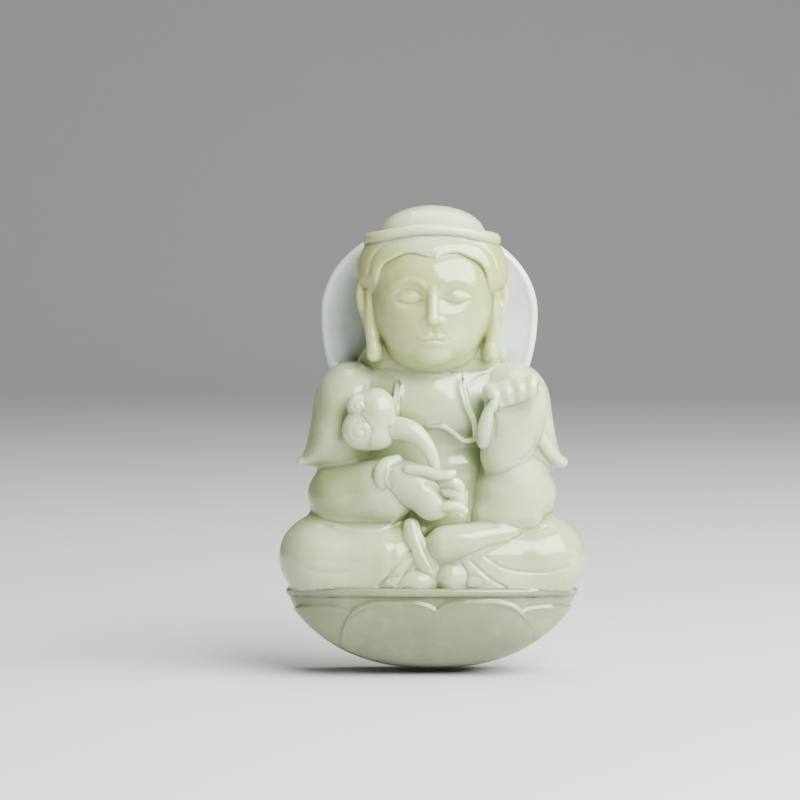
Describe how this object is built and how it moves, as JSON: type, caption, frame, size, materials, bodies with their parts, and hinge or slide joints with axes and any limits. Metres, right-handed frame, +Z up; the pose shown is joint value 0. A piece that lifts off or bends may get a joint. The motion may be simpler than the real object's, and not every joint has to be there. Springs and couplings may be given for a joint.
{
  "type": "jade pendant figurine",
  "caption": "Carved pale green jade pendant: a seated robed figure on a lotus with a round halo, holding a ruyi sceptre, drilled across the hair for a cord.",
  "frame": {"origin": "under the middle of the carving, level with the lowest point of the lotus keel", "axes": "+Z up through the head, -Y out of the face, +X to the figure's left hand"},
  "size_m": [0.0338, 0.014, 0.052],
  "materials": {
    "jade_head": "polished, slightly warmer green",
    "jade_robe": "polished pale celadon",
    "jade_halo": "polished, cooler and whiter",
    "jade_lotus": "polished, slightly greyer green"
  },
  "bodies": {
    "root": {"hair_crown": "jade_head", "halo_disc": "jade_halo", "hair_knot": "jade_head", "right_thumb": "jade_robe", "right_fingers": "jade_robe", "right_hand": "jade_robe", "right_cuff": "jade_robe", "left_fingers": "jade_robe", "left_thumb": "jade_robe", "left_hand": "jade_robe", "ruyi_handle": "jade_robe", "ruyi_lobe": "jade_robe", "ruyi_head": "jade_robe", "crossed_foot": "jade_robe", "robe_sash": "jade_robe", "hem_lobe_right": "jade_robe", "hem_lobe_left": "jade_robe", "right_ear": "jade_head", "left_ear": "jade_head", "face": "jade_head", "hair_band": "jade_head", "hair_sides": "jade_head", "neck": "jade_head", "left_sleeve_edge": "jade_robe", "right_forearm": "jade_robe", "left_forearm": "jade_robe", "right_shoulder": "jade_robe", "left_shoulder": "jade_robe", "collar_right": "jade_robe", "collar_left": "jade_robe", "undershirt_edge": "jade_robe", "right_knee": "jade_robe", "left_knee": "jade_robe", "lotus_rim": "jade_lotus", "petal_front": "jade_lotus", "petal_side_right": "jade_lotus", "petal_side_left": "jade_lotus", "chest": "jade_robe"}
  },
  "joints": []
}
